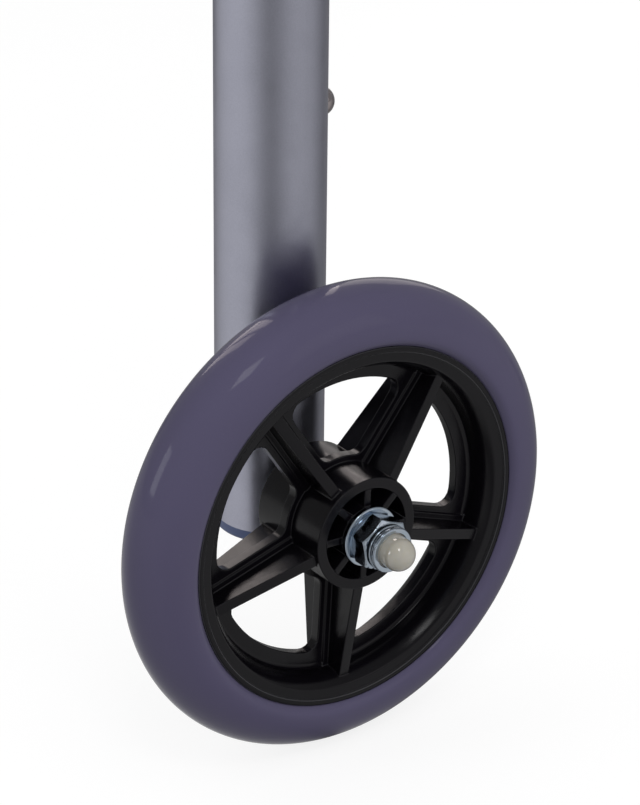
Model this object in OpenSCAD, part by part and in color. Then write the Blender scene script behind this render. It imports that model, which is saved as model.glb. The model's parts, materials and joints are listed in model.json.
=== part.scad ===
// Folding walking frame with two front wheels.
// Millimetres, +Z up, floor at z = 0. The front faces -Y, the user walks at +Y, and +X is the user's left.

/* [Side frames] */
// Height of the handle tube's centre line above the floor
handle_h = 857; // [820:1:920]
// Distance from the middle of the walker to each leg's axis
leg_x = 252; // [250:1:290]
// Distance between front and rear leg axes at handle height
top_depth = 308; // [280:1:312]
// Backward lean of the rear legs, in degrees
rear_lean = 5.5; // [3:0.5:5.5]
// Outer diameter of the frame tubes
tube_od = 25.4; // [24.6:0.1:25.4]
// Wall of the frame tubes
tube_wall = 1.3; // [1:0.1:1.6]
// Radius of the two handle bends, at the tube's centre line
side_bend_r = 80; // [60:1:90]
// Outer diameter of the side brace
brace_od = 19; // [14:0.5:22]
// Height of the side brace's centre line
brace_h = 385; // [375:1:390]

/* [Front panel] */
// Height of the top bar's centre line
arch_h = 745; // [700:1:790]
// Radius of the top bar's bends, at the tube's centre line
arch_bend_r = 60; // [45:1:70]
// From the left leg's axis inwards to the left post's axis
post_gap_left = 40; // [38:1:46]
// From the right leg's axis inwards to the right post's axis
post_gap_right = 82; // [81:1:84]
// Height of the lower hinge brackets' underside
lower_bracket_z = 410; // [406:1:440]
// Height of a hinge bracket
bracket_h = 38; // [34:1:44]
// Plastic round each tube in a hinge bracket
bracket_wall = 5.3; // [4:0.1:6]
// Outer diameter of the lower cross tube
cross_od = 22; // [16:0.5:24]
// From the lower brackets' top up to the cross tube's centre line
cross_rise = 34; // [28:1:60]

/* [Height setting] */
// Outer diameter of the leg extensions
leg_od = 28.5; // [28.4:0.1:29.4]
// Wall of the leg extensions
leg_wall = 1.3; // [1:0.1:1.3]
// Distance between two height holes
hole_pitch = 25.4; // [22:0.1:25.4]
// Height holes above the one in use
holes_above = 4; // [2:1:5]
// Height holes below the one in use
holes_below = 2; // [0:1:2]
// Snap buttons' height above the wheel axle
button_above_axle = 100; // [98:1:110]
// Frame tube below each snap button
frame_tail = 28.5; // [16:0.5:30]
// Leg extension above its top hole
leg_over_top_hole = 25; // [15:1:28]
// Diameter of a snap button
snap_d = 7.9; // [6.5:0.1:8.5]
// How far a snap button's tip stands out of the leg extension
snap_stand = 4.65; // [4.2:0.05:4.8]
// Height of the collar on each leg extension
collar_h = 11; // [8:0.5:14]

/* [Wheel] */
// Diameter of the tyre
wheel_d = 127; // [120:1:127]
// Widest part of the tyre
tyre_w = 22.1; // [20.5:0.1:24]
// Height of the tyre's round tread above its straight sides
tread_h = 12; // [10:0.5:13]
// From the leg's axis out to the middle of the wheel
wheel_gap = 29.2; // [29:0.1:32]
// Diameter of the plastic wheel centre
rim_d = 98.4; // [95:0.1:98.4]
// Width of the wheel centre from lip to lip
rim_w = 19.5; // [17:0.1:20]
// Thickness of the rim at its lip
lip_t = 1.6; // [1.4:0.1:2.6]
// Thickness of the web
web_t = 3; // [2.4:0.1:4]
// Number of spokes
spokes = 5; // [4:1:6]
// Width of a spoke in the web
spoke_w = 9.8; // [8:0.1:12]
// Thickness of a spoke's fin
fin_t = 3.1; // [2.4:0.1:4]
// Outer diameter of the windows between the spokes
window_d = 76; // [72:0.5:77]
// Angle of the first spoke above the line pointing backwards, in degrees
spoke_turn = 51.3; // [0:0.1:71]
// Diameter of the hub barrel
hub_d = 30.6; // [28:0.1:32]
// Length of the hub barrel
hub_len = 25.6; // [24:0.1:26]
// Number of ribs in the hub's end face
hub_ribs = 8; // [6:1:10]

/* [Axle] */
// Diameter of the axle bolt
bolt_d = 8; // [7:0.1:8.4]
// Outer diameter of the axle sleeve
sleeve_d = 12; // [11:0.1:12.6]
// Diameter of the outer washer
washer_d = 16.2; // [15.8:0.1:18]
// Thickness of the outer washer
washer_t = 1.6; // [1.4:0.1:2.2]
// Width across the flats of the nut and of the bolt's head
nut_af = 13; // [12:0.1:14]
// Height of the nut's hexagon
nut_h = 6; // [4.5:0.1:6.2]
// Diameter of the nut's plastic dome
dome_d = 8.8; // [8.7:0.05:9.6]
// Leg extension below the axle
leg_below_axle = 10.6; // [9:0.1:14]
// Thickness of the plug's rim under the leg
plug_rim = 3.1; // [2:0.1:4]

/* [Feet and grips] */
// Diameter of a rubber foot's base
foot_d = 40; // [36:1:41]
// Height of a rubber foot along the leg
foot_h = 48; // [38:1:60]
// Rubber under the leg's end
foot_sole = 11; // [9:0.5:15]
// Diameter of a hand grip
grip_d = 34; // [31:0.5:34]
// Length of a hand grip
grip_len = 128; // [105:1:135]

/* [Fold lock] */
// From a post's axis inwards to its fold button
button_reach = 38; // [37:0.5:42]
// Diameter of a fold button
fold_button_d = 19.8; // [16:0.1:20]
// How far a fold button stands out
fold_button_stand = 8; // [7:0.5:9]
// Diameter of the locking head on the pin
lock_head_d = 6; // [5:0.1:6]
// Thickness of a lock plate
lock_plate_t = 3; // [2:0.1:3.5]

/* [Hidden] */
$fn = 64;

// Clearances
run_gap = 0.05;       // radial, of a turning or sliding fit
tube_gap = 0.08;      // radial, of a bracket on its post
face_gap = 0.3;       // between faces that pass each other
hole_gap = 0.25;      // radial, of a hole round a button or a bolt
bend_thinning = 0.05; // radial, of a tube in its bends
far = 400;            // length of a cutting tool

// Colours
silver = [0.66, 0.67, 0.70];
steel = [0.78, 0.79, 0.80];
black = [0.10, 0.10, 0.11];
soft_grey = [0.36, 0.34, 0.42];
plug_blue = [0.38, 0.44, 0.60];
cream = [0.86, 0.84, 0.76];

// Radii of the tubes
tube_r = tube_od / 2;
tube_in_r = tube_r - tube_wall;
leg_r = leg_od / 2;
leg_in_r = leg_r - leg_wall;
brace_r = brace_od / 2;
cross_r = cross_od / 2;
wheel_r = wheel_d / 2;

// Places along Y: the whole walker is centred on y = 0
base_depth = top_depth + handle_h * tan(rear_lean);
foot_reach = foot_d / 2 / cos(rear_lean);
axle_y = (wheel_r - base_depth - foot_reach) / 2;
rear_y = axle_y + base_depth;

// Heights, along the leg's own axis
button_z = wheel_r + button_above_axle;
tail_z = button_z - frame_tail;
leg_top_z = button_z + holes_above * hole_pitch + leg_over_top_hole;
leg_bottom_z = wheel_r - leg_below_axle;

// Front panel heights
bracket_below_bend = 27;
upper_bracket_z = arch_h - arch_bend_r - bracket_h - bracket_below_bend;
collar_ring_h = 6;
collar_ring_wall = 3.4;
post_tail = 10;
post_bottom_z = lower_bracket_z - face_gap - collar_ring_h - post_tail;
post_cap_h = 3;
post_cap_edge = 1.2;
post_plug_h = 12;
cross_z = lower_bracket_z + bracket_h + cross_rise;
boss_r = tube_r + bracket_wall;

// Snap button
snap_r = snap_d / 2;
snap_travel = snap_stand + leg_wall + 0.1;
leaf_t = 0.8;
leaf_w = 8;
snap_flange_t = 1.2;
snap_flange_r = snap_r + 1.2;
flange_out = sqrt(tube_in_r * tube_in_r - snap_flange_r * snap_flange_r) - 0.1;
leaf_out = flange_out - snap_flange_t;
leaf_len = 48;

// Axle stack, from the middle of the wheel outwards
sleeve_half = hub_len / 2 + 0.5;
washer_x = sleeve_half + washer_t;
hex_end_x = washer_x + nut_h;
nut_collar_h = 2.8;
nut_collar_wall = 1.7;
nut_end_x = hex_end_x + nut_collar_h;
dome_r = dome_d / 2;
dome_base_t = 2;
dome_lift = 2.1;
dome_centre_x = nut_end_x + dome_lift;
bolt_end_x = nut_end_x + 0.8;
bolt_r = bolt_d / 2;
saddle_t = 2;
saddle_r = 9;
leg_face_x = wheel_gap - leg_r;

// Fold lock
fold_travel = 6;
guide_r = fold_button_d / 2 + 0.1;
lobe_r = guide_r + 3.5;
guide_floor_z = upper_bracket_z + 14;
button_low_z = upper_bracket_z + bracket_h - 10;
lock_plate_z = upper_bracket_z - 0.5 - lock_plate_t;
lock_head_r = lock_head_d / 2;
lock_neck_r = lock_head_r * 0.54;
lock_ear_r = lock_head_r + 2.8;

// Sides: the right half is the left half's mirror image, apart from its longer hinge brackets
module left() children();
module right() mirror([1, 0, 0]) children();
module front_leg_place() translate([leg_x, axle_y, 0]) children();
module rear_leg_place() translate([leg_x, rear_y, 0]) rotate([rear_lean, 0, 0]) children();
module axle_place() translate([leg_x + wheel_gap, axle_y, wheel_r]) rotate([0, 90, 0]) children();
module post_place(gap) translate([leg_x - gap, axle_y, 0]) children();

// A straight length of tube or rod up from the origin
module tube(length, outer, inner) {
  difference() {
    cylinder(h = length, r = outer);
    translate([0, 0, -1]) cylinder(h = length + 2, r = inner);
  }
}

// A ring of rectangular section round the Z axis, from z0 to z1
module ring(outer, inner, z0, z1) {
  translate([0, 0, z0]) tube(z1 - z0, outer, inner);
}

// Points of an arc round a centre
function arc(centre, r, a0, a1, steps) = [
  for (i = [0 : steps]) let (a = a0 + (a1 - a0) * i / steps) centre + r * [cos(a), sin(a)]
];

function unit(v) = v / norm(v);
function cross2(a, b) = a[0] * b[1] - a[1] * b[0];

// A rod that follows the points in the XY plane, with round bends of radius bend.
// As on a real bent tube, the bends come out a little thinner than the straights, which lap over them.
module bent_rod(points, bend, r) {
  lap = 1;
  n = len(points);
  dirs = [for (i = [0 : n - 2]) unit(points[i + 1] - points[i])];
  turns = [for (i = [0 : n - 3]) atan2(cross2(dirs[i], dirs[i + 1]), dirs[i] * dirs[i + 1])];
  setback = [for (t = turns) bend * tan(abs(t) / 2)];
  for (i = [0 : n - 2]) {
    start = points[i] + dirs[i] * (i == 0 ? 0 : setback[i - 1] - lap);
    end = points[i + 1] - dirs[i] * (i == n - 2 ? 0 : setback[i] - lap);
    translate(start) rotate([0, 0, atan2(dirs[i][1], dirs[i][0])]) rotate([0, 90, 0])
      cylinder(h = norm(end - start), r = r);
  }
  for (i = [0 : n - 3]) {
    side = sign(turns[i]);
    inward = side * [-dirs[i][1], dirs[i][0]];
    centre = points[i + 1] - dirs[i] * setback[i] + inward * bend;
    translate(centre) rotate([0, 0, atan2(-inward[1], -inward[0])])
      rotate_extrude(angle = turns[i]) translate([bend, 0]) circle(r = r - bend_thinning);
  }
}

// The end of a path, moved on by a little so that a bore runs out of the tube
function run_out(points, extra) = let (n = len(points)) [
  for (i = [0 : n - 1])
    i == 0 ? points[0] - unit(points[1] - points[0]) * extra :
    i == n - 1 ? points[i] + unit(points[i] - points[i - 1]) * extra : points[i]
];

module bent_tube(points, bend, outer, inner) {
  difference() {
    bent_rod(points, bend, outer);
    bent_rod(run_out(points, 1), bend, inner);
  }
}

// Side frame: one bent tube from the front leg over the handle and down the rear leg
side_path = [
  [axle_y, tail_z],
  [axle_y, handle_h],
  [axle_y + top_depth, handle_h],
  [rear_y - tail_z * sin(rear_lean), tail_z * cos(rear_lean)]
];

module side_frame(gap) {
  color(silver) difference() {
    translate([leg_x, 0, 0]) rotate([90, 0, 90]) bent_tube(side_path, side_bend_r, tube_r, tube_in_r);
    front_leg_place() snap_hole();
    rear_leg_place() snap_hole();
    for (z = rivet_heights()) front_leg_place() translate([0, 0, z]) rivet_hole();
  }
}

module snap_hole() {
  translate([0, 0, button_z]) rotate([-90, 0, 0]) cylinder(h = leg_od, r = snap_r + run_gap);
}

// Rear leg's axis at a height above the floor
function rear_axis_y(z) = rear_y - z * tan(rear_lean);

module side_brace() {
  color(silver) difference() {
    translate([leg_x, axle_y, brace_h]) rotate([-90, 0, 0])
      tube(rear_axis_y(brace_h) - axle_y, brace_r, brace_r - tube_wall);
    front_leg_place() cylinder(h = handle_h, r = tube_r);
    rear_leg_place() cylinder(h = handle_h, r = tube_r);
  }
}

// Hand grip: a moulded sleeve with finger swells, along the straight part of the handle
grip_setback = 22;
grip_y = axle_y + side_bend_r + grip_setback;
grip_swells = 4;
grip_round = 4;

module hand_grip() {
  wave = 0.9;
  steps = 24;
  swell = wave / 2;
  body = [for (i = [0 : steps]) let (t = i / steps)
    [grip_d / 2 - swell * (1 - cos(360 * grip_swells * t)), grip_round + t * (grip_len - 2 * grip_round)]];
  color(soft_grey) translate([leg_x, grip_y, handle_h]) rotate([-90, 0, 0]) rotate_extrude()
    polygon(concat(
      [[tube_r, 0], [grip_d / 2 - grip_round, 0], [grip_d / 2 - grip_round * 0.3, grip_round * 0.3]],
      body,
      [[grip_d / 2 - grip_round * 0.3, grip_len - grip_round * 0.3],
       [grip_d / 2 - grip_round, grip_len], [tube_r, grip_len]]));
}

// Hinge brackets: each is fixed on the front leg and turns on the front panel's post
module bracket_body(gap, z) {
  arm_w = 2 * boss_r - 8;
  front_leg_place() translate([0, 0, z]) {
    cylinder(h = bracket_h, r = boss_r);
    translate([-gap, 0, 0]) cylinder(h = bracket_h, r = boss_r);
    translate([-gap, -arm_w / 2, 0]) cube([gap, arm_w, bracket_h]);
  }
}

module bracket_bores(gap, z) {
  front_leg_place() translate([0, 0, z - 1]) cylinder(h = bracket_h + 2, r = tube_r);
  post_place(gap) translate([0, 0, z - 1]) cylinder(h = bracket_h + 2, r = tube_r + tube_gap);
  for (s = [-1, 1]) front_leg_place() translate([0, 0, z + bracket_h / 2 + s * rivet_spread]) rivet_hole();
}

module hinge_bracket_lower(gap) {
  color(black) difference() {
    bracket_body(gap, lower_bracket_z);
    bracket_bores(gap, lower_bracket_z);
  }
}

module hinge_bracket_upper(gap) {
  color(black) difference() {
    union() {
      bracket_body(gap, upper_bracket_z);
      post_place(gap) translate([-button_reach, 0, upper_bracket_z]) cylinder(h = bracket_h, r = lobe_r);
      post_place(gap) translate([-button_reach, -lobe_r * 0.75, upper_bracket_z])
        cube([button_reach, lobe_r * 1.5, bracket_h]);
    }
    bracket_bores(gap, upper_bracket_z);
    post_place(gap) translate([-button_reach, 0, guide_floor_z]) cylinder(h = bracket_h, r = guide_r);
    post_place(gap) translate([-button_reach, 0, upper_bracket_z - 1])
      cylinder(h = bracket_h, r = lock_neck_r + run_gap);
  }
}

// Rivets through the brackets and the front leg
rivet_r = 2.4;
rivet_spread = 10;
rivet_head_r = 4.4;
rivet_head_h = 1.8;

function rivet_heights() = [
  for (z = [lower_bracket_z, upper_bracket_z], s = [-1, 1]) z + bracket_h / 2 + s * rivet_spread
];

module rivet_hole() {
  rotate([90, 0, 0]) translate([0, 0, -far / 2]) cylinder(h = far, r = rivet_r + run_gap);
}

module rivet() {
  rotate([90, 0, 0]) {
    translate([0, 0, -boss_r]) cylinder(h = 2 * boss_r, r = rivet_r);
    for (s = [0, 1]) mirror([0, 0, s]) translate([0, 0, boss_r - 0.4])
      cylinder(h = rivet_head_h + 0.4, r1 = rivet_head_r, r2 = rivet_head_r * 0.55);
  }
}

module bracket_rivets() {
  color(steel) difference() {
    for (z = rivet_heights()) front_leg_place() translate([0, 0, z]) rivet();
    front_leg_place() for (z = [lower_bracket_z, upper_bracket_z]) translate([0, 0, z]) difference() {
      cylinder(h = bracket_h, r = boss_r);
      for (s = [-1, 1]) translate([0, 0, bracket_h / 2 + s * rivet_spread]) rivet_hole();
    }
  }
}

// Fold lock: pressing the button pushes the pin's head out of the lock plate's hook
module fold_button(gap) {
  top_z = upper_bracket_z + bracket_h + fold_button_stand;
  r = fold_button_d / 2;
  color(plug_blue) post_place(gap) translate([-button_reach, 0, 0]) difference() {
    rotate_extrude() polygon([
      [0, button_low_z], [r - 0.6, button_low_z], [r, button_low_z + 0.6], [r, top_z - 2.6],
      [r - 0.7, top_z - 1.1], [r - 2.2, top_z - 0.3], [r - 4, top_z], [0, top_z - 0.6]]);
    translate([0, 0, button_low_z - 1]) cylinder(h = 7, r = lock_neck_r);
  }
}

module lock_pin(gap) {
  color(steel) post_place(gap) translate([-button_reach, 0, 0]) {
    translate([0, 0, lock_plate_z]) cylinder(h = button_low_z + 6 - lock_plate_z, r = lock_neck_r);
    translate([0, 0, lock_plate_z - 1]) cylinder(h = lock_plate_t + 1, r = lock_head_r);
  }
}

// A round wire wound as one unbroken helix between z = 0 and z = height
module coil(height, radius, wire_r, turns) {
  rings = 8 * turns;
  sides = 6;
  rise = height - 2 * wire_r;
  points = [for (i = [0 : rings], k = [0 : sides - 1])
    let (a = 360 * turns * i / rings, b = 360 * k / sides, q = radius + wire_r * cos(b))
    [q * cos(a), q * sin(a), wire_r + rise * i / rings + wire_r * sin(b)]];
  walls = [for (i = [0 : rings - 1], k = [0 : sides - 1])
    let (p = i * sides + k, q = i * sides + (k + 1) % sides)
    [p, q, q + sides, p + sides]];
  tris = [for (w = walls, t = [0, 1]) t == 0 ? [w[0], w[2], w[1]] : [w[0], w[3], w[2]]];
  ends = [for (k = [1 : sides - 2], e = [0, 1])
    e == 0 ? [0, k, k + 1] : [rings * sides, rings * sides + k + 1, rings * sides + k]];
  polyhedron(points = points, faces = concat(tris, ends));
}

module fold_spring(gap) {
  wire_r = 0.5;
  color(steel) post_place(gap) translate([-button_reach, 0, guide_floor_z])
    coil(button_low_z - guide_floor_z, guide_r - 2, wire_r, 5);
}

// Front panel
function post_x_left() = leg_x - post_gap_left;
function post_x_right() = leg_x - post_gap_right;

module front_arch() {
  path = [[-post_x_right(), post_bottom_z], [-post_x_right(), arch_h], [post_x_left(), arch_h],
    [post_x_left(), post_bottom_z]];
  color(silver) translate([0, axle_y, 0]) rotate([90, 0, 0])
    bent_tube(path, arch_bend_r, tube_r, tube_in_r);
}

module front_cross_tube() {
  color(silver) difference() {
    translate([-post_x_right(), axle_y, cross_z]) rotate([0, 90, 0])
      tube(post_x_left() + post_x_right(), cross_r, cross_r - tube_wall);
    left() post_place(post_gap_left) cylinder(h = arch_h, r = tube_r);
    right() post_place(post_gap_right) cylinder(h = arch_h, r = tube_r);
  }
}

module lock_plate(gap) {
  mouth = 2 * lock_neck_r + 0.5;
  post_place(gap) translate([0, 0, lock_plate_z]) difference() {
    union() {
      cylinder(h = lock_plate_t, r = tube_r + 5);
      translate([-button_reach, 0, 0]) cylinder(h = lock_plate_t, r = lock_ear_r);
      translate([-button_reach, -4, 0]) cube([button_reach - tube_r, 8, lock_plate_t]);
    }
    translate([0, 0, -1]) cylinder(h = lock_plate_t + 2, r = tube_r);
    translate([-button_reach, 0, -1]) cylinder(h = lock_plate_t + 2, r = lock_head_r + 0.1);
    rotate([0, 0, 180]) rotate_extrude(angle = 25) translate([button_reach - mouth / 2, -1])
      square([mouth, lock_plate_t + 2]);
  }
}

module lock_plates() {
  color(steel) {
    left() lock_plate(post_gap_left);
    right() lock_plate(post_gap_right);
  }
}

// Rings that hold the brackets at their height on the posts
module post_collar_pair(gap) {
  for (z = [lower_bracket_z - face_gap - collar_ring_h, upper_bracket_z + bracket_h + face_gap])
    post_place(gap) ring(tube_r + collar_ring_wall, tube_r, z, z + collar_ring_h);
}

module post_collars() {
  color(black) {
    left() post_collar_pair(post_gap_left);
    right() post_collar_pair(post_gap_right);
  }
}

module post_cap(gap) {
  post_place(gap) translate([0, 0, post_bottom_z]) {
    translate([0, 0, -post_cap_h]) cylinder(h = post_cap_h, r1 = tube_r - post_cap_edge, r2 = tube_r);
    cylinder(h = post_plug_h, r = tube_in_r);
  }
}

module post_caps() {
  color(black) {
    left() post_cap(post_gap_left);
    right() post_cap(post_gap_right);
  }
}

// Snap button and its leaf spring, in a leg's own frame: the button points backwards
module snap_button() {
  tip = leg_r + snap_stand;
  color(steel) translate([0, 0, button_z]) rotate([-90, 0, 0]) {
    translate([0, 0, leaf_out]) cylinder(h = tip - snap_r - leaf_out, r = snap_r);
    translate([0, 0, leaf_out]) cylinder(h = snap_flange_t, r = snap_flange_r);
    translate([0, 0, tip - snap_r]) sphere(r = snap_r);
  }
}

// Two leaves of one strip, joined by a round bend above the button
module snap_spring() {
  back = tube_in_r - 1.6;
  bend_r = (leaf_out + back) / 2;
  centre = [(leaf_out - back) / 2, leaf_len];
  outer = concat([[leaf_out, -snap_flange_r]], arc(centre, bend_r, 0, 180, 12), [[-back, 0]]);
  inner = concat(
    [[leaf_t - back, 0]],
    arc(centre, bend_r - leaf_t, 180, 0, 12),
    [[leaf_out - leaf_t, -snap_flange_r]]);
  color(steel) translate([-leaf_w / 2, 0, button_z]) rotate([90, 0, 90])
    linear_extrude(leaf_w) polygon(concat(outer, inner));
}

// Leg extension, in a leg's own frame, from z0 up
module leg_extension(z0) {
  difference() {
    ring(leg_r, leg_in_r, z0, leg_top_z);
    for (i = [-holes_below : holes_above]) translate([0, 0, button_z + i * hole_pitch])
      rotate([-90, 0, 0]) cylinder(h = leg_od, r = snap_r + hole_gap);
  }
}

module front_leg() {
  color(silver) front_leg_place() difference() {
    leg_extension(leg_bottom_z);
    translate([-leg_od, 0, wheel_r]) rotate([0, 90, 0]) cylinder(h = 2 * leg_od, r = bolt_r + hole_gap);
  }
}

module rear_leg() {
  color(silver) rear_leg_place() leg_extension(foot_sole);
}

// Plastic collar that takes the play between the leg extension and the frame tube
module leg_collar() {
  lip = 2.6;
  wall = 1.5;
  ring(leg_r + wall, leg_r, leg_top_z - collar_h + lip, leg_top_z);
  ring(leg_r + wall, tube_r + run_gap, leg_top_z, leg_top_z + lip);
}

module front_collar() color(black) front_leg_place() leg_collar();
module rear_collar() color(black) rear_leg_place() leg_collar();

// Rubber foot: a ridged cup on the leg's end, cut flat where it stands on the floor
module rear_foot() {
  top_r = leg_r + 3;
  base_r = foot_d / 2;
  bead_z = foot_h * 0.45;
  color(soft_grey) difference() {
    rear_leg_place() difference() {
      rotate_extrude() polygon([
        [0, -5], [base_r, -5], [base_r, 8], [base_r - 1.5, 11], [top_r + 0.8, 15], [top_r + 0.5, bead_z],
        [top_r + 1.4, bead_z + 1.5], [top_r + 1.4, bead_z + 4], [top_r + 0.3, bead_z + 5.5],
        [top_r, foot_h - 6], [top_r + 1, foot_h - 4.5], [top_r + 1, foot_h - 1],
        [top_r, foot_h], [0, foot_h]]);
      translate([0, 0, foot_sole]) cylinder(h = foot_h, r = leg_r);
    }
    translate([leg_x - far / 2, rear_y - far / 2, -far]) cube([far, far, far]);
  }
}

// Plug in the front leg's lower end, drilled for the axle bolt
module leg_plug() {
  body_top = 13;
  dish_r = leg_in_r - 4;
  color(plug_blue) front_leg_place() translate([0, 0, wheel_r]) difference() {
    rotate_extrude() polygon([
      [0, 1.6 - leg_below_axle - plug_rim], [dish_r, 1.6 - leg_below_axle - plug_rim],
      [dish_r + 1, -leg_below_axle - plug_rim], [leg_r - 0.7, -leg_below_axle - plug_rim],
      [leg_r, 0.7 - leg_below_axle - plug_rim], [leg_r, -leg_below_axle], [leg_in_r, -leg_below_axle],
      [leg_in_r, body_top - 1], [leg_in_r - 1, body_top], [0, body_top]]);
    translate([-leg_od, 0, 0]) rotate([0, 90, 0]) cylinder(h = 2 * leg_od, r = bolt_r + run_gap);
  }
}

// Axle, in the wheel's own frame: the origin is the middle of the wheel and +Z points outwards
module hexagon(across, h) {
  cylinder(h = h, r = across / 2 / cos(30), $fn = 6);
}

module axle_bolt() {
  head_h = 5.3;
  head_z = -wheel_gap - leg_r - saddle_t;
  color(steel) axle_place() {
    translate([0, 0, head_z]) cylinder(h = bolt_end_x - head_z, r = bolt_r);
    translate([0, 0, head_z - head_h]) intersection() {
      hexagon(nut_af, head_h);
      translate([0, 0, -1]) cylinder(h = head_h + 3, r1 = nut_af / 2 - 1, r2 = nut_af / 2 + 7.3);
    }
  }
}

// Washers with one hollow face, which sit on the round leg on both sides
module saddle_washers() {
  color(black) axle_place() difference() {
    union() {
      ring(saddle_r, bolt_r + hole_gap, -leg_face_x - leg_r, -sleeve_half);
      ring(saddle_r, bolt_r + hole_gap, -wheel_gap - leg_r - saddle_t, -wheel_gap);
    }
    translate([far / 2, 0, -wheel_gap]) rotate([0, -90, 0]) cylinder(h = far, r = leg_r);
  }
}

module axle_sleeve() color(steel) axle_place() ring(sleeve_d / 2, bolt_r + 0.1, -sleeve_half, sleeve_half);

module outer_washer() {
  edge = 0.3;
  color(steel) axle_place() difference() {
    translate([0, 0, sleeve_half]) rotate_extrude() polygon([
      [0, 0], [washer_d / 2 - edge, 0], [washer_d / 2, edge], [washer_d / 2, washer_t - edge],
      [washer_d / 2 - edge, washer_t], [0, washer_t]]);
    cylinder(h = far, r = bolt_r + 0.1);
  }
}

module lock_nut() {
  corner_r = nut_af / 2 / cos(30);
  neck_r = nut_af / 2 - 0.5;
  collar_r = dome_r + nut_collar_wall;
  groove_r = collar_r - 0.6;
  color(steel) axle_place() difference() {
    union() {
      translate([0, 0, washer_x]) intersection() {
        rotate([0, 0, 7]) hexagon(nut_af, nut_h);
        rotate_extrude() polygon([
          [0, 0], [nut_af / 2 - 0.2, 0], [nut_af / 2 - 0.2, 0.5], [corner_r, 1.2],
          [corner_r, nut_h - 0.8], [neck_r, nut_h], [0, nut_h]]);
      }
      translate([0, 0, hex_end_x]) rotate_extrude() polygon([
        [0, -0.5], [groove_r, -0.5], [groove_r, 0.4], [collar_r, 0.6],
        [collar_r, 1.0], [groove_r, 1.15], [groove_r, 1.6], [collar_r, 1.8],
        [collar_r, nut_collar_h - 0.4], [collar_r - 0.2, nut_collar_h - 0.1],
        [collar_r - 0.6, nut_collar_h], [0, nut_collar_h]]);
    }
    translate([0, 0, washer_x - 1]) cylinder(h = far, r = bolt_r);
    translate([0, 0, nut_end_x - dome_base_t]) cylinder(h = far, r = dome_r + 0.3);
  }
}

module nut_cap() {
  base_x = nut_end_x - dome_base_t;
  color(cream) axle_place() difference() {
    union() {
      translate([0, 0, base_x]) cylinder(h = dome_base_t - 0.3, r = dome_r + 0.3);
      translate([0, 0, base_x]) cylinder(h = dome_centre_x - base_x, r = dome_r);
      translate([0, 0, dome_centre_x]) sphere(r = dome_r);
    }
    translate([0, 0, base_x - dome_r]) cylinder(h = bolt_end_x + 0.1 - base_x + dome_r, r = bolt_r);
  }
}

// Wheel centre, one moulding: rim, web with windows, spoke fins, barrel and ribbed hub
rim_r = rim_d / 2;
window_r = window_d / 2;
window_in_r = hub_d / 2 + 1.7;
window_round = 3.4;
hub_r = hub_d / 2;
hub_wall = 2.9;
barrel_r = hub_r - hub_wall / 2;
bush_r = sleeve_d / 2 + 1.6;
pocket_floor = 4;
pad_t = web_t + 1;
rib_turn = 42.6;
rib_t = 2;

// Inner side of the rim, from the web out to the lip, as [radius, height] points:
// a fillet, a long round flare, a narrow flat, and the small step up to the lip
rim_wall_r = rim_r - 6.8;
rim_fillet = 1.3;
rim_flare = 8.5;
lip_step = 0.7;
flare_foot = web_t / 2 + rim_fillet;
flare_end = rim_w / 2 - lip_step - 0.15;
flare_turn = asin((flare_end - flare_foot) / rim_flare);

function rim_inner() = concat(
  [[rim_wall_r - rim_fillet - 1, web_t / 2]],
  arc([rim_wall_r - rim_fillet, flare_foot], rim_fillet, -90, 0, 5),
  arc([rim_wall_r + rim_flare, flare_foot], rim_flare, 180, 180 - flare_turn, 10),
  [[rim_r - lip_t, rim_w / 2 - lip_step], [rim_r - lip_t, rim_w / 2 - 0.2]]);

module rim() {
  up = concat(
    rim_inner(),
    [[rim_r - lip_t + 0.3, rim_w / 2], [rim_r - 0.2, rim_w / 2], [rim_r, rim_w / 2 - 0.2]]);
  n = len(up);
  down = [for (i = [n - 1 : -1 : 0]) [up[i][0], -up[i][1]]];
  rotate_extrude() polygon(concat(up, down));
}

// One window between two spokes, with round corners
module window_outline() {
  half = spoke_w / 2;
  q = window_round;
  sector = 180 / spokes;
  out_a = sector - asin((half + q) / (window_r - q));
  in_a = sector - asin((half + q) / (window_in_r + q));
  out_c = (window_r - q) * [cos(out_a), sin(out_a)];
  in_c = (window_in_r + q) * [cos(in_a), sin(in_a)];
  right_half = concat(
    arc([0, 0], window_r, 0, out_a, 8),
    arc(out_c, q, out_a, 90 + sector, 5),
    arc(in_c, q, 90 + sector, 180 + in_a, 5),
    arc([0, 0], window_in_r, in_a, 0, 4));
  n = len(right_half);
  left_half = [for (i = [n - 1 : -1 : 0]) [right_half[i][0], -right_half[i][1]]];
  polygon(concat(right_half, left_half));
}

module spoke_place(i) rotate([0, 0, 90 + spoke_turn + 360 / spokes * i]) children();

module web() {
  difference() {
    ring(rim_wall_r + 1, barrel_r, -web_t / 2, web_t / 2);
    for (i = [0 : spokes - 1]) spoke_place(i + 0.5)
      translate([0, 0, -web_t]) linear_extrude(2 * web_t) window_outline();
  }
}

// A fin stands out on both faces of its spoke, and is lower at the rim than at the hub
module fin() {
  hub_end = hub_len / 2 - 1.5;
  rim_end = hub_end - 4.4;
  rim_at = rim_wall_r + 1.8;
  rotate([90, 0, 0]) translate([0, 0, -fin_t / 2]) linear_extrude(fin_t) polygon([
    [barrel_r, -hub_end], [rim_at, -rim_end], [rim_at, rim_end], [barrel_r, hub_end]]);
}

module spoke_pad() {
  translate([barrel_r, -spoke_w / 3, -pad_t / 2]) cube([rim_wall_r - barrel_r, spoke_w * 2 / 3, pad_t]);
}

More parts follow.
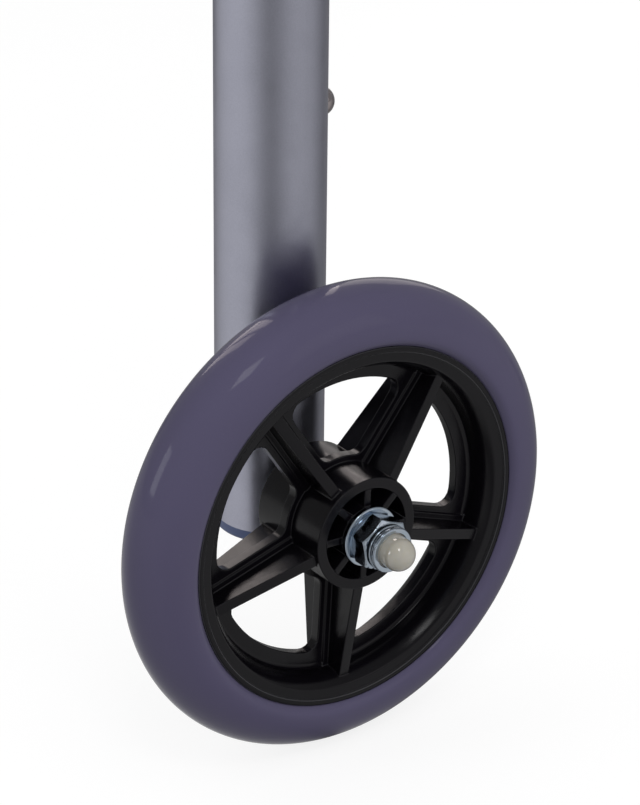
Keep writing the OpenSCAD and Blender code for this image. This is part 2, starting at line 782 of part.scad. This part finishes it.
module hub() {
  half = hub_len / 2;
  ring(hub_r, hub_r - hub_wall, -half, half);
  ring(bush_r, sleeve_d / 2 + run_gap, -half, half);
  ring(barrel_r, bush_r - 0.5, -pocket_floor, pocket_floor);
  for (i = [0 : hub_ribs - 1]) rotate([0, 0, 90 + rib_turn + 360 / hub_ribs * i])
    translate([bush_r - 0.5, -rib_t / 2, 0.2 - half]) cube([barrel_r - bush_r + 0.5, rib_t, hub_len - 0.4]);
}

module wheel_hub() {
  color(black) axle_place() {
    rim();
    web();
    hub();
    for (i = [0 : spokes - 1]) spoke_place(i) {
      fin();
      spoke_pad();
    }
  }
}

// Tyre: straight sides out of the rim, then a round tread
module tyre() {
  half = tyre_w / 2;
  shoulder_r = wheel_r - tread_h;
  steps = 12;
  side = [[rim_r, rim_w / 2 - 0.2], [rim_r + 0.5, rim_w / 2 + 0.15], [rim_r + 1.3, half - 0.25]];
  tread = [for (i = [0 : steps]) let (a = 90 * i / steps) [shoulder_r + tread_h * sin(a), half * cos(a)]];
  up = concat(side, tread);
  n = len(up);
  down = [for (i = [n - 2 : -1 : 0]) [up[i][0], -up[i][1]]];
  color(soft_grey) axle_place() rotate_extrude() polygon(concat(up, down));
}

front_arch();
front_cross_tube();
lock_plates();
post_collars();
post_caps();

left() side_frame();  // side_frame_left
left() side_brace();  // side_brace_left
left() hinge_bracket_upper(post_gap_left);  // hinge_bracket_upper_left
left() hinge_bracket_lower(post_gap_left);  // hinge_bracket_lower_left
left() bracket_rivets();  // bracket_rivets_left
left() hand_grip();  // hand_grip_left
left() fold_button(post_gap_left);  // fold_button_left
left() lock_pin(post_gap_left);  // lock_pin_left
left() fold_spring(post_gap_left);  // fold_spring_left

right() side_frame();  // side_frame_right
right() side_brace();  // side_brace_right
right() hinge_bracket_upper(post_gap_right);  // hinge_bracket_upper_right
right() hinge_bracket_lower(post_gap_right);  // hinge_bracket_lower_right
right() bracket_rivets();  // bracket_rivets_right
right() hand_grip();  // hand_grip_right
right() fold_button(post_gap_right);  // fold_button_right
right() lock_pin(post_gap_right);  // lock_pin_right
right() fold_spring(post_gap_right);  // fold_spring_right

left() front_leg_place() snap_button();  // snap_button_front_left
left() front_leg_place() snap_spring();  // snap_spring_front_left
left() rear_leg_place() snap_button();  // snap_button_rear_left
left() rear_leg_place() snap_spring();  // snap_spring_rear_left
right() front_leg_place() snap_button();  // snap_button_front_right
right() front_leg_place() snap_spring();  // snap_spring_front_right
right() rear_leg_place() snap_button();  // snap_button_rear_right
right() rear_leg_place() snap_spring();  // snap_spring_rear_right

left() front_leg();  // front_leg_left
left() front_collar();  // front_collar_left
left() rear_leg();  // rear_leg_left
left() rear_collar();  // rear_collar_left
left() rear_foot();  // rear_foot_left
right() front_leg();  // front_leg_right
right() front_collar();  // front_collar_right
right() rear_leg();  // rear_leg_right
right() rear_collar();  // rear_collar_right
right() rear_foot();  // rear_foot_right

left() leg_plug();  // leg_plug_left
left() axle_bolt();  // axle_bolt_left
left() saddle_washers();  // saddle_washers_left
left() axle_sleeve();  // axle_sleeve_left
left() outer_washer();  // outer_washer_left
left() lock_nut();  // lock_nut_left
left() nut_cap();  // nut_cap_left
left() wheel_hub();  // wheel_hub_left
left() tyre();  // tyre_left
right() leg_plug();  // leg_plug_right
right() axle_bolt();  // axle_bolt_right
right() saddle_washers();  // saddle_washers_right
right() axle_sleeve();  // axle_sleeve_right
right() outer_washer();  // outer_washer_right
right() lock_nut();  // lock_nut_right
right() nut_cap();  // nut_cap_right
right() wheel_hub();  // wheel_hub_right
right() tyre();  // tyre_right
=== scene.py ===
"""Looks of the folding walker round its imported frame: camera, finishes, finished meshes, floor and light.

Lengths are in metres, and colours are linear.
"""
import json
import math

import bmesh
import bpy
from mathutils import Matrix, Vector


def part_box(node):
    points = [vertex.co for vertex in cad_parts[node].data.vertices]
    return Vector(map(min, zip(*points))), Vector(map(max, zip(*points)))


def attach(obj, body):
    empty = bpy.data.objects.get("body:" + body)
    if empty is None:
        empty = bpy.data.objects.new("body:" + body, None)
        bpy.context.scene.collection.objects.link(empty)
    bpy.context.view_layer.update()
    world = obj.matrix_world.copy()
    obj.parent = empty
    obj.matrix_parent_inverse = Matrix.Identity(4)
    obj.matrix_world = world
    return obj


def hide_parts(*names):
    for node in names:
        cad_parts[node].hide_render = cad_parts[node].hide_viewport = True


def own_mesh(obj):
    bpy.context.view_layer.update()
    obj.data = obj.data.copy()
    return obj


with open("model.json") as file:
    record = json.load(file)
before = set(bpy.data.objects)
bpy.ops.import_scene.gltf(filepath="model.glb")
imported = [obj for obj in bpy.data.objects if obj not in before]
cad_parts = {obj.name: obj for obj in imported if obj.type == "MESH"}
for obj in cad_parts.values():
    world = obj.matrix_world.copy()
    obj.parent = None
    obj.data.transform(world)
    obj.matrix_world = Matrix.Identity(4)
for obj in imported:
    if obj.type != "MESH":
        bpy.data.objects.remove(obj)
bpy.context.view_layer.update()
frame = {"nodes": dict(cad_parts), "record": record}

SIDES = ("left", "right")
SLOT_OF = {part["node"]: part["material_slot"] for part in frame["record"]["subparts"]}
BODY_OF = {node: body for body, nodes in frame["record"]["behaviour"]["bodies"].items() for node in nodes}


def centre(node):
    """The middle of a node's box at rest."""
    low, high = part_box(node)
    return (Vector(low) + Vector(high)) / 2


# Camera: its place seen from the middle of the left wheel, fitted to the photograph
CAMERA_AZIMUTH = 53.126
CAMERA_ELEVATION = 25.975
CAMERA_ROLL = 0.659
CAMERA_OFFSET = Vector((0.58434, -0.443871, 0.389191))
LENS_MM = 145.64
SENSOR_MM = 36
NEAR_CLIP = 0.01


def camera_axes(azimuth, elevation, roll):
    """Right, up and backward directions of a camera that looks at the origin from that side."""
    a, e, r = (math.radians(angle) for angle in (azimuth, elevation, roll))
    back = Vector((math.sin(a) * math.cos(e), -math.cos(a) * math.cos(e), math.sin(e)))
    level = Vector((math.cos(a), math.sin(a), 0))
    upright = back.cross(level)
    right = level * math.cos(r) + upright * math.sin(r)
    return right, back.cross(right), back


def add_camera():
    """The photograph's camera."""
    data = bpy.data.cameras.new("camera")
    data.lens = LENS_MM
    data.sensor_width = SENSOR_MM
    data.clip_start = NEAR_CLIP
    camera = bpy.data.objects.new("camera", data)
    axes = Matrix(camera_axes(CAMERA_AZIMUTH, CAMERA_ELEVATION, CAMERA_ROLL)).transposed()
    camera.matrix_world = Matrix.Translation(centre("tyre_left") + CAMERA_OFFSET) @ axes.to_4x4()
    bpy.context.scene.collection.objects.link(camera)
    bpy.context.scene.camera = camera


# Materials: small helpers for procedural node trees
class Finish:
    """A material with one main shader, and the few node patterns that the finishes here share."""

    def __init__(self, name, color, roughness, metallic=0.0, **sockets):
        self.material = bpy.data.materials.new(name)
        self.material.use_nodes = True
        self.tree = self.material.node_tree
        self.shader = self.tree.nodes["Principled BSDF"]
        self.color = color
        self.shader.inputs["Base Color"].default_value = (*color, 1)
        self.shader.inputs["Roughness"].default_value = roughness
        self.shader.inputs["Metallic"].default_value = metallic
        for socket, value in sockets.items():
            self.shader.inputs[socket.replace("_", " ")].default_value = value
        self.roughness = roughness
        self.normal = None

    def node(self, kind, **values):
        """A new node with its settings."""
        node = self.tree.nodes.new(kind)
        for key, value in values.items():
            setattr(node, key, value)
        return node

    def link(self, output, socket):
        """Joins an output to a socket of another node."""
        self.tree.links.new(output, socket)

    def place(self, stretch=(1, 1, 1)):
        """Object coordinates, stretched along each axis."""
        coords = self.node("ShaderNodeTexCoord")
        mapping = self.node("ShaderNodeMapping")
        mapping.inputs["Scale"].default_value = stretch
        self.link(coords.outputs["Object"], mapping.inputs["Vector"])
        return mapping.outputs["Vector"]

    def noise(self, scale, detail=3, stretch=(1, 1, 1), roughness=0.5):
        """A noise pattern; scale is its repeats per metre."""
        node = self.node("ShaderNodeTexNoise")
        node.inputs["Scale"].default_value = scale
        node.inputs["Detail"].default_value = detail
        node.inputs["Roughness"].default_value = roughness
        self.link(self.place(stretch), node.inputs["Vector"])
        return node.outputs["Fac"]

    def spread(self, value, low, high, start=0.3, end=0.7):
        """Maps a pattern from start..end to low..high."""
        node = self.node("ShaderNodeMapRange")
        for socket, number in (("From Min", start), ("From Max", end), ("To Min", low), ("To Max", high)):
            node.inputs[socket].default_value = number
        self.link(value, node.inputs["Value"])
        return node.outputs["Result"]

    def tint(self, pattern, other):
        """Mixes another colour into the base colour by a pattern from 0 to 1."""
        mix = self.node("ShaderNodeMix", data_type="RGBA")
        base = self.shader.inputs["Base Color"]
        if base.is_linked:
            self.link(base.links[0].from_socket, mix.inputs["A"])
        else:
            mix.inputs["A"].default_value = (*self.color, 1)
        mix.inputs["B"].default_value = (*other, 1)
        self.link(pattern, mix.inputs["Factor"])
        self.link(mix.outputs["Result"], base)
        return self

    def vary_roughness(self, pattern, amount):
        """Roughness that goes up and down by amount with a pattern."""
        low = max(self.roughness - amount, 0.02)
        self.link(self.spread(pattern, low, self.roughness + amount), self.shader.inputs["Roughness"])
        return self

    def bump(self, pattern, depth, strength=1.0):
        """Relief from a pattern, depth in metres; further calls add to it."""
        node = self.node("ShaderNodeBump")
        node.inputs["Strength"].default_value = strength
        node.inputs["Distance"].default_value = depth
        self.link(pattern, node.inputs["Height"])
        if self.normal:
            self.link(self.normal, node.inputs["Normal"])
        self.normal = node.outputs["Normal"]
        self.link(self.normal, self.shader.inputs["Normal"])
        return self

    def painted_crevice_shade(self, reach):
        """A mask for painted shade: 1 deep in corners and grooves and 0 on open faces."""
        node = self.node("ShaderNodeAmbientOcclusion", samples=6, only_local=True)
        node.inputs["Distance"].default_value = reach
        return self.spread(node.outputs["AO"], 1, 0, 0.35, 0.85)

    def edges(self, radius):
        """A mask that is 1 at outer edges and 0 on flat faces."""
        bevel = self.node("ShaderNodeBevel", samples=4)
        bevel.inputs["Radius"].default_value = radius
        plain = self.node("ShaderNodeNewGeometry")
        dot = self.node("ShaderNodeVectorMath", operation="DOT_PRODUCT")
        self.link(bevel.outputs["Normal"], dot.inputs[0])
        self.link(plain.outputs["Normal"], dot.inputs[1])
        return self.spread(dot.outputs["Value"], 1, 0, 0.8, 0.99)


def shade(color, factor):
    """A colour made lighter or darker by a factor."""
    return tuple(min(channel * factor, 1) for channel in color)


ALU = (0.46, 0.465, 0.55)
ZINC = (0.55, 0.61, 0.68)
RIVET_STEEL = (0.68, 0.69, 0.71)
SPRING_STEEL = (0.42, 0.43, 0.45)
WORN_STEEL = (0.42, 0.37, 0.37)
HUB_BLACK = (0.0026, 0.0022, 0.0034)
BRACKET_BLACK = (0.016, 0.016, 0.018)
SLATE = (0.095, 0.125, 0.245)
RUBBED_SLATE = shade(SLATE, 1.5)
TYRE_GREY = (0.091, 0.082, 0.143)
GRIP_GREY = (0.075, 0.070, 0.095)
FOOT_GREY = (0.065, 0.060, 0.082)
CREAM = (0.44, 0.42, 0.367)


def anodised(name, color, roughness=0.36):
    """Satin anodised tube: a fine blasted grain, faint draw lines and small handling marks."""
    f = Finish(name, color, roughness, metallic=1.0)
    f.tint(f.spread(f.noise(60, 4), 0, 0.5), shade(color, 0.86))
    f.tint(f.spread(f.noise(2600, 2), 0, 0.35), shade(color, 1.2))
    f.vary_roughness(f.noise(180, 5), 0.05)
    f.bump(f.noise(2200, 2), 0.00004, 0.35)
    f.bump(f.noise(900, 3, stretch=(1, 1, 0.02)), 0.00002, 0.3)
    return f.material


def moulded(name, color, roughness, grain=0.00005, worn=(0.08, 0.08, 0.085), gloss=0.4):
    """Moulded plastic: spark-eroded grain, softer patches and edges rubbed lighter."""
    f = Finish(name, color, roughness, Specular_IOR_Level=gloss)
    f.tint(f.spread(f.noise(45, 4), 0, 0.6), shade(color, 1.5))
    f.tint(f.edges(0.0004), worn)
    f.vary_roughness(f.noise(300, 4), 0.05)
    f.bump(f.noise(2400, 3, roughness=0.7), grain, 0.5)
    return f.material


def plated(name, color, roughness):
    """Bright zinc plating with faint cloudy patches and tool marks, and painted shade that darkens its
    corners and grooves.
    """
    f = Finish(name, color, roughness, metallic=1.0)
    f.tint(f.spread(f.noise(350, 4), 0, 0.6), (color[0] * 0.8, color[1] * 0.9, color[2]))
    # Painted shade: corners and grooves darkened to 12 percent of the plating's colour
    f.tint(f.painted_crevice_shade(0.0012), shade(color, 0.12))
    f.vary_roughness(f.noise(900, 4), 0.05)
    f.bump(f.noise(1500, 3), 0.00003, 0.35)
    return f.material


def rubber(name, color, roughness):
    """Soft rubber: a fine matt grain, dull patches and edges rubbed lighter."""
    f = Finish(name, color, roughness, Specular_IOR_Level=0.35)
    f.tint(f.spread(f.noise(50, 5), 0, 0.7), shade(color, 0.75))
    f.tint(f.edges(0.0006), shade(color, 1.35))
    f.vary_roughness(f.noise(400, 3), 0.08)
    f.bump(f.noise(1400, 4, roughness=0.7), 0.00008, 0.6)
    return f.material


def tyre_rubber():
    """Glossy cast polyurethane: almost mirror-smooth, with a faint flow and dust marks."""
    f = Finish("tyre", TYRE_GREY, 0.42, Specular_IOR_Level=0.04,
               Coat_Weight=1.0, Coat_Roughness=0.07, Coat_IOR=1.2)
    f.tint(f.spread(f.noise(30, 4), 0, 0.5), (0.083, 0.075, 0.127))
    f.tint(f.spread(f.noise(2400, 2), 0, 0.15, 0.55, 0.75), shade(TYRE_GREY, 1.3))
    f.vary_roughness(f.noise(120, 5), 0.05)
    f.bump(f.noise(40, 2), 0.0002, 0.12)
    f.bump(f.noise(1500, 2), 0.00001, 0.25)
    return f.material


def nylon():
    """Cream nylon of the lock nut's dome, slightly clear."""
    f = Finish("nut_cap", CREAM, 0.08, Subsurface_Weight=0.4, Subsurface_Scale=0.002,
               Coat_Weight=0.8, Coat_Roughness=0.05)
    f.shader.inputs["Subsurface Radius"].default_value = (1, 0.8, 0.5)
    f.tint(f.spread(f.noise(300, 3), 0, 0.35), (0.41, 0.39, 0.34))
    f.vary_roughness(f.noise(900, 3), 0.03)
    f.bump(f.noise(700, 2), 0.00001, 0.1)
    return f.material


# One finish for each material slot of the record
MATERIALS = {
    "frame_tube": anodised("frame_tube", ALU),
    "leg_tube": anodised("leg_tube", ALU),
    "lock_plate": plated("lock_plate", shade(ZINC, 0.85), 0.32),
    "black_plastic": moulded("black_plastic", BRACKET_BLACK, 0.46),
    "rivet": plated("rivet", RIVET_STEEL, 0.34),
    "hand_grip": rubber("hand_grip", GRIP_GREY, 0.66),
    "fold_button": moulded("fold_button", SLATE, 0.34, 0.00002, RUBBED_SLATE),
    "steel_pin": plated("steel_pin", ZINC, 0.26),
    "spring_steel": plated("spring_steel", SPRING_STEEL, 0.3),
    "snap_button": plated("snap_button", WORN_STEEL, 0.16),
    "rubber_foot": rubber("rubber_foot", FOOT_GREY, 0.6),
    "leg_plug": moulded("leg_plug", SLATE, 0.36, 0.00002, RUBBED_SLATE),
    "zinc_steel": plated("zinc_steel", ZINC, 0.14),
    "nut_cap": nylon(),
    "wheel_hub": moulded("wheel_hub", HUB_BLACK, 0.2, 0.00004, (0.04, 0.04, 0.044), gloss=0.25),
    "tyre": tyre_rubber(),
}


# Meshes
def add_piece(name, mesh, node):
    """A finished mesh that stands for a node, rides on its body and takes its finish."""
    piece = bpy.data.objects.new(name, mesh)
    bpy.context.scene.collection.objects.link(piece)
    mesh.materials.clear()
    mesh.materials.append(MATERIALS[SLOT_OF[node]])
    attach(piece, BODY_OF[node])
    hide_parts(node)
    return piece


SAME_POINT = 1e-6
FLAT_ANGLE = math.radians(0.6)
HARD_ANGLE = math.radians(32)
CREASE_ANGLE = math.radians(40)


def polished(node, width):
    """The node's own shape with its hard edges rounded by width."""
    work = bmesh.new()
    work.from_mesh(frame["nodes"][node].data)
    bmesh.ops.remove_doubles(work, verts=work.verts, dist=SAME_POINT)
    bmesh.ops.dissolve_limit(work, angle_limit=FLAT_ANGLE, verts=work.verts, edges=work.edges)
    hard = [edge for edge in work.edges
            if len(edge.link_faces) == 2 and edge.calc_face_angle() > HARD_ANGLE]
    bmesh.ops.bevel(work, geom=hard, offset=width, segments=2, profile=0.5, affect="EDGES",
                    clamp_overlap=False, offset_type="OFFSET")
    for face in work.faces:
        face.smooth = True
    mesh = bpy.data.meshes.new(f"{node}_finish")
    work.to_mesh(mesh)
    work.free()
    mesh.set_sharp_from_angle(angle=CREASE_ANGLE)
    piece = add_piece(f"{node}_finish", mesh, node)
    weighted = piece.modifiers.new("normals", "WEIGHTED_NORMAL")
    weighted.keep_sharp = True


def lathe(profile, steps, place):
    """A closed ring of (radius, height) points turned round Z, moved by the matrix place."""
    work = bmesh.new()
    rings = []
    for i in range(steps):
        a = math.tau * i / steps
        rings.append([work.verts.new((r * math.cos(a), r * math.sin(a), h)) for r, h in profile])
    for i in range(steps):
        here, there = rings[i], rings[(i + 1) % steps]
        for k in range(len(profile)):
            n = (k + 1) % len(profile)
            work.faces.new((here[k], there[k], there[n], here[n])).smooth = True
    bmesh.ops.recalc_face_normals(work, faces=work.faces)
    bmesh.ops.transform(work, matrix=place, verts=work.verts)
    mesh = bpy.data.meshes.new("lathe")
    work.to_mesh(mesh)
    work.free()
    return mesh


def sprung(node):
    """The node's own shape in a mesh of its own, for a spring that its button presses together along the
    joint's way.
    """
    mesh = frame["nodes"][node].data.copy()
    piece = add_piece(f"{node}_sprung", mesh, node)
    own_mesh(piece)


def axle_place(side):
    """From the axle's own frame, where Z points outwards, to the walker's."""
    turn = Matrix.Rotation(math.radians(90 if side == "left" else -90), 4, "Y")
    return Matrix.Translation(centre(f"tyre_{side}")) @ turn


# The tyre: depth of its round tread, half its width where it meets the rim, and the steps of its curves
TREAD_DEPTH = 0.012
SEAT_HALF_WIDTH = 0.0093
TREAD_STEPS = 40
WHEEL_STEPS = 288


def tyre_profile(side):
    """Straight side walls with soft corners, and a round tread."""
    low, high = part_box(f"tyre_{side}")
    half, outer = (high[0] - low[0]) / 2, (high[2] - low[2]) / 2
    hub_low, hub_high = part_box(f"wheel_hub_{side}")
    bore = (hub_high[2] - hub_low[2]) / 2
    shoulder = outer - TREAD_DEPTH
    tread = []
    for i in range(TREAD_STEPS + 1):
        a = math.radians(180 * i / TREAD_STEPS)
        tread.append((shoulder + (outer - shoulder) * math.sin(a), half * math.cos(a)))
    foot = [
        (bore, SEAT_HALF_WIDTH), (bore + 0.0003, SEAT_HALF_WIDTH + 0.0005),
        (bore + 0.0011, half - 0.0004), (bore + 0.0018, half - 0.0001)]
    mirrored = [(r, -h) for r, h in reversed(foot)]
    return foot + tread + mirrored


# Width of the rounded edges of each kind of piece
ROUNDED = {
    "hinge_bracket_upper": 0.0006,
    "hinge_bracket_lower": 0.0006,
    "post_collars": 0.0004,
    "post_caps": 0.0004,
    "front_collar": 0.0004,
    "rear_collar": 0.0004,
    "fold_button": 0.0004,
    "lock_plates": 0.0003,
    "lock_pin": 0.0002,
    "snap_button_front": 0.0002,
    "snap_button_rear": 0.0002,
    "hand_grip": 0.0004,
    "rear_foot": 0.0005,
    "leg_plug": 0.0003,
    "saddle_washers": 0.0003,
    "axle_sleeve": 0.0002,
    "wheel_hub": 0.0003,
    "outer_washer": 0.00015,
    "lock_nut": 0.00018,
    "nut_cap": 0.0002,
}


def build_meshes():
    """The tyres, the pieces with rounded edges and the springs."""
    for side in SIDES:
        mesh = lathe(tyre_profile(side), WHEEL_STEPS, axle_place(side))
        add_piece(f"tyre_{side}_cast", mesh, f"tyre_{side}")
    for node in frame["nodes"]:
        kind = node.removesuffix("_left").removesuffix("_right")
        if kind in ROUNDED:
            polished(node, ROUNDED[kind])
    for joint in frame["record"]["behaviour"]["joints"]:
        for spring in joint.get("deforming_nodes", ()):
            sprung(spring["node"])


def dress_nodes():
    """Every CAD node gets its slot's finish."""
    for name, node in frame["nodes"].items():
        for material_slot in node.material_slots:
            material_slot.material = MATERIALS[SLOT_OF[name]]


# Studio: directions are seen from the left wheel
def direction(azimuth, elevation):
    """Azimuth is turned from the front towards the left side, in degrees."""
    a, e = math.radians(azimuth), math.radians(elevation)
    return Vector((math.sin(a) * math.cos(e), -math.cos(a) * math.cos(e), math.sin(e)))


def lobe(f, vector, azimuth, spread, height):
    """A number that rises to height towards an azimuth and falls to 0 at spread degrees from it."""
    dot = f.node("ShaderNodeVectorMath", operation="DOT_PRODUCT")
    f.link(vector, dot.inputs[0])
    dot.inputs[1].default_value = direction(azimuth, 0)
    node = f.node("ShaderNodeMapRange", interpolation_type="SMOOTHSTEP")
    node.inputs["From Min"].default_value = math.cos(math.radians(spread))
    node.inputs["From Max"].default_value = 1
    node.inputs["To Max"].default_value = height
    f.link(dot.outputs["Value"], node.inputs["Value"])
    return node.outputs["Result"]


def calc(f, operation, *values):
    """A sum on numbers and sockets."""
    node = f.node("ShaderNodeMath", operation=operation)
    for socket, value in zip(node.inputs, values):
        if isinstance(value, (int, float)):
            socket.default_value = value
        else:
            f.link(value, socket)
    return node.outputs["Value"]


def mirror_ray(f, path):
    """1 for what is seen in a reflection or through something clear."""
    return calc(f, "MAXIMUM", path.outputs["Is Glossy Ray"], path.outputs["Is Transmission Ray"])


# How bright the floor looks in reflections: its plain level, and the painted pools of light that it glows
# with there, as (azimuth from the left wheel, spread, rise)
FLOOR_LEVEL = 0.05
FLOOR_PAINTED_POOLS = ((-24, 75, 0.42), (118, 62, 0.28))
# What the camera sees of the floor beside the light that falls on it
FLOOR_WHITE = 0.82
FLOOR_GREY = (0.24, 0.24, 0.24)
FLOOR_PATCHES = (0.23, 0.23, 0.23)
FLOOR_HALF_SIZE = 30
# The surroundings, in reflections and as light
ROOM_LEVEL = 0.30
ROOM_LIGHT = 0.68


def add_floor():
    """A plain pale floor, white to the camera, with the object's shadow and painted pools of light that
    glow in reflections.
    """
    mesh = bpy.data.meshes.new("floor")
    half = FLOOR_HALF_SIZE
    corners = [(-half, -half, 0), (half, -half, 0), (half, half, 0), (-half, half, 0)]
    mesh.from_pydata(corners, [], [(0, 1, 2, 3)])
    floor = bpy.data.objects.new("floor", mesh)
    bpy.context.scene.collection.objects.link(floor)
    f = Finish("floor", FLOOR_GREY, 0.9, Specular_IOR_Level=0.0)
    f.tint(f.spread(f.noise(3, 3), 0, 0.3), FLOOR_PATCHES)
    path = f.node("ShaderNodeLightPath")
    coords = f.node("ShaderNodeTexCoord")
    away = f.node("ShaderNodeVectorMath", operation="SUBTRACT")
    f.link(coords.outputs["Object"], away.inputs[0])
    wheel = centre("tyre_left")
    away.inputs[1].default_value = (wheel.x, wheel.y, 0)
    unit = f.node("ShaderNodeVectorMath", operation="NORMALIZE")
    f.link(away.outputs["Vector"], unit.inputs[0])
    level = FLOOR_LEVEL
    # Painted pools of light: the floor's glow in reflections rises towards each pool's azimuth
    for azimuth, spread, height in FLOOR_PAINTED_POOLS:
        level = calc(f, "ADD", level, lobe(f, unit.outputs["Vector"], azimuth, spread, height))
    seen = calc(f, "MULTIPLY", path.outputs["Is Camera Ray"], FLOOR_WHITE)
    mirrored = calc(f, "MULTIPLY", mirror_ray(f, path), level)
    glow = calc(f, "ADD", seen, mirrored)
    f.shader.inputs["Emission Color"].default_value = (1, 1, 1, 1)
    f.link(glow, f.shader.inputs["Emission Strength"])
    mesh.materials.append(f.material)


class Backdrop:
    """The surroundings' node tree, with the same small helpers as a finish."""

    node = Finish.node
    link = Finish.link

    def __init__(self, world):
        world.use_nodes = True
        self.tree = world.node_tree
        self.background = self.tree.nodes["Background"]


def add_surroundings():
    """White to the camera, an even room in reflections, and an even light."""
    world = bpy.data.worlds.new("studio")
    bpy.context.scene.world = world
    room = Backdrop(world)
    path = room.node("ShaderNodeLightPath")
    mirror = mirror_ray(room, path)
    seen = path.outputs["Is Camera Ray"]
    rest = calc(room, "SUBTRACT", 1, calc(room, "MAXIMUM", mirror, seen))
    strength = calc(room, "ADD", seen, calc(room, "MULTIPLY", mirror, ROOM_LEVEL))
    strength = calc(room, "ADD", strength, calc(room, "MULTIPLY", rest, ROOM_LIGHT))
    room.link(strength, room.background.inputs["Strength"])
    room.background.inputs["Color"].default_value = (1, 1, 1, 1)


# Soft boxes: name, azimuth, elevation, distance, (width, height), radiance, colour and kind.
# A "fill" lights surfaces and isn't reflected; a "sheen" is seen in reflections alone.
SOFT_BOXES = (
    ("front_box", -18, 18, 2.4, (0.70, 0.80), 4.4, (0.93, 0.96, 1.0), "both"),
    ("side_box", 60, 56, 2.4, (0.56, 0.50), 5.6, (1, 1, 1), "both"),
    ("back_box", -106, 34, 2.8, (2.0, 1.7), 3.7, (1.0, 0.90, 0.87), "sheen"),
    ("far_box", -136, 16, 2.8, (1.2, 1.2), 0.9, (1.0, 0.92, 0.90), "both"),
    ("right_box", 118, 22, 2.8, (1.4, 1.3), 0.5, (1.0, 0.94, 0.96), "both"),
    ("side_fill", 88, 12, 2.8, (1.4, 1.0), 5.0, (1, 1, 1), "fill"),
)
AIM = Vector((0.1, 0, 0.3))


def add_soft_box(name, azimuth, elevation, distance, size, radiance, color, kind):
    """A soft box at a direction and distance from the left wheel, aimed at the walker."""
    data = bpy.data.lights.new(name, "AREA")
    data.shape = "RECTANGLE"
    data.size, data.size_y = size
    data.energy = radiance * math.pi * size[0] * size[1]
    data.color = color
    box = bpy.data.objects.new(name, data)
    box.location = centre("tyre_left") + direction(azimuth, elevation) * distance
    box.rotation_euler = (AIM - box.location).to_track_quat("-Z", "Y").to_euler()
    box.visible_camera = False
    box.visible_glossy = kind != "fill"
    box.visible_diffuse = kind != "sheen"
    bpy.context.scene.collection.objects.link(box)


def add_studio():
    """The light."""
    bpy.context.scene.view_settings.view_transform = "Standard"
    add_surroundings()
    for row in SOFT_BOXES:
        add_soft_box(*row)


add_camera()
dress_nodes()
build_meshes()
add_floor()
add_studio()
